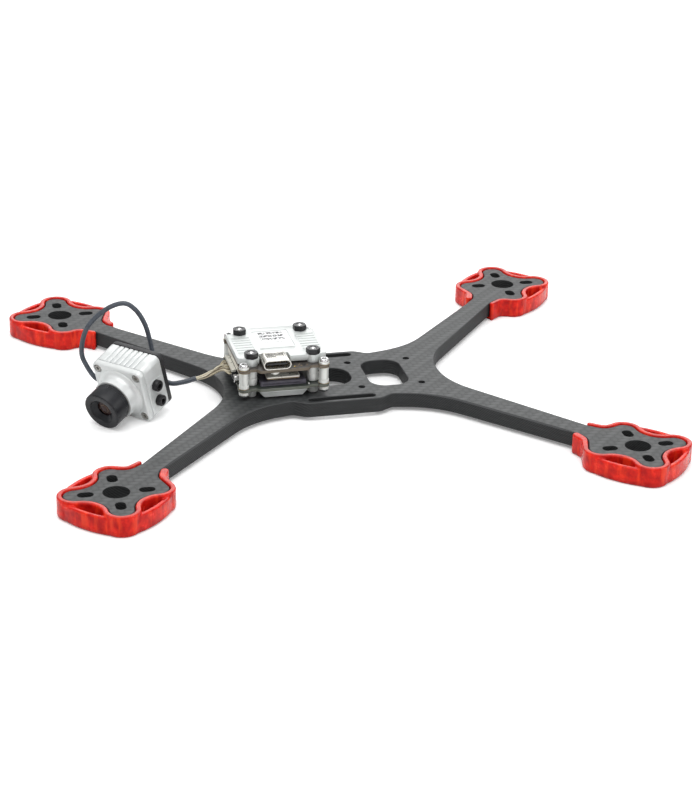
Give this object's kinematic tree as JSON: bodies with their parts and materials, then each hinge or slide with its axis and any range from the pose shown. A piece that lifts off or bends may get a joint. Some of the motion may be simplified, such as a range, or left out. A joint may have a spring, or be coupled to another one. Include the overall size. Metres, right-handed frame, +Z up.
{
  "type": "fpv racing drone",
  "caption": "X-shaped carbon drone plate with red guards round its motor mounts, a stacked digital video unit bolted near the nose and a small cube camera lying on a looped cable.",
  "frame": {"origin": "on the ground under the centre of the frame plate: midway between the four motor mounts, at the height of the guards' undersides", "axes": "+Z up out of the plate's top face, -Y towards the nose (the camera end), +X towards the drone's left side"},
  "size_m": [0.1744, 0.1948, 0.0327],
  "materials": {
    "carbon": "woven carbon fibre, satin",
    "guard_rubber": "printed flexible plastic, translucent red, glossy",
    "board": "solder resist, satin",
    "anodised_silver": "clear anodised, satin",
    "label": "printed label, matt",
    "connector": "moulded, matt",
    "nickel": "nickel plated",
    "black_plastic": "moulded, matt",
    "steel": "bright",
    "spacer": "turned, satin",
    "black_steel": "black oxide",
    "camera_shell": "clear anodised, satin",
    "lens_black": "black anodised, satin",
    "lens_glass": "coated, polished",
    "cable": "smooth jacket, satin",
    "coax": "bundle of thin insulated wires"
  },
  "bodies": {
    "frame": {"frame_plate": "carbon", "motor_guard_front_left": "guard_rubber", "motor_guard_front_right": "guard_rubber", "motor_guard_rear_left": "guard_rubber", "motor_guard_rear_right": "guard_rubber", "video_lower_board": "board", "video_upper_board": "board", "video_top_heatsink": "anodised_silver", "video_bottom_heatsink": "anodised_silver", "video_label": "label", "board_connector": "connector", "radio_shield": "nickel", "usb_shell": "nickel", "camera_socket": "black_plastic", "usb_tongue": "black_plastic", "corner_post_front_left": "anodised_silver", "top_screw_front_left": "steel", "bottom_screw_front_left": "steel", "mounting_screw_front_left": "steel", "inner_spacer_front_left": "spacer", "base_standoff_front_left": "spacer", "mounting_nut_front_left": "black_steel", "corner_post_rear_left": "anodised_silver", "top_screw_rear_left": "steel", "bottom_screw_rear_left": "steel", "mounting_screw_rear_left": "steel", "inner_spacer_rear_left": "spacer", "base_standoff_rear_left": "spacer", "mounting_nut_rear_left": "black_steel", "corner_post_rear_right": "anodised_silver", "top_screw_rear_right": "steel", "bottom_screw_rear_right": "steel", "mounting_screw_rear_right": "steel", "inner_spacer_rear_right": "spacer", "base_standoff_rear_right": "spacer", "mounting_nut_rear_right": "black_steel", "corner_post_front_right": "anodised_silver", "top_screw_front_right": "steel", "bottom_screw_front_right": "steel", "mounting_screw_front_right": "steel", "inner_spacer_front_right": "spacer", "base_standoff_front_right": "spacer", "mounting_nut_front_right": "black_steel", "coax_wires": "coax"},
    "cable": {"camera_cable": "cable"},
    "camera": {"camera_front_housing": "camera_shell", "camera_rear_housing": "camera_shell", "camera_back_cover": "black_plastic", "image_sensor_board": "board", "camera_front_screw_lower_left": "black_steel", "camera_front_screw_upper_left": "black_steel", "camera_front_screw_upper_right": "black_steel", "camera_front_screw_lower_right": "black_steel", "camera_side_screw_left_upper": "black_steel", "camera_side_screw_left_lower": "black_steel", "camera_side_screw_right_upper": "black_steel", "camera_side_screw_right_lower": "black_steel"},
    "lens_carrier": {"lens_glass": "lens_glass"},
    "lens": {"lens_ring": "lens_black"}
  },
  "joints": [
    {"name": "camera_swing", "type": "hinge", "parent": "frame", "child": "cable", "pos_m": [0.001, -0.0375, 0], "axis": [0, 0, 1], "range_deg": [-14, 14], "stiffness_Nm_per_rad": 0.01, "deforming": ["coax_wires"]},
    {"name": "camera_rock", "type": "hinge", "parent": "cable", "child": "camera", "pos_m": [0.0044, -0.06754, 0], "axis": [-0.7181, -0.6959, 0], "range_deg": [0, 16.5], "stiffness_Nm_per_rad": 0.01, "deforming": ["camera_cable"]},
    {"name": "focus_travel", "type": "slide", "parent": "camera", "child": "lens_carrier", "axis": [0.6671, -0.6884, -0.2849], "range_m": [-0.00025, 0.0005]},
    {"name": "focus_turn", "type": "hinge", "parent": "lens_carrier", "child": "lens", "pos_m": [0.0063, -0.0695, 0.0092], "axis": [0.6671, -0.6884, -0.2849], "range_deg": [-181, 361]}
  ],
  "couplings": [
    {"joint": "focus_turn", "follows": "focus_travel", "rad_per_m": 12566}
  ]
}
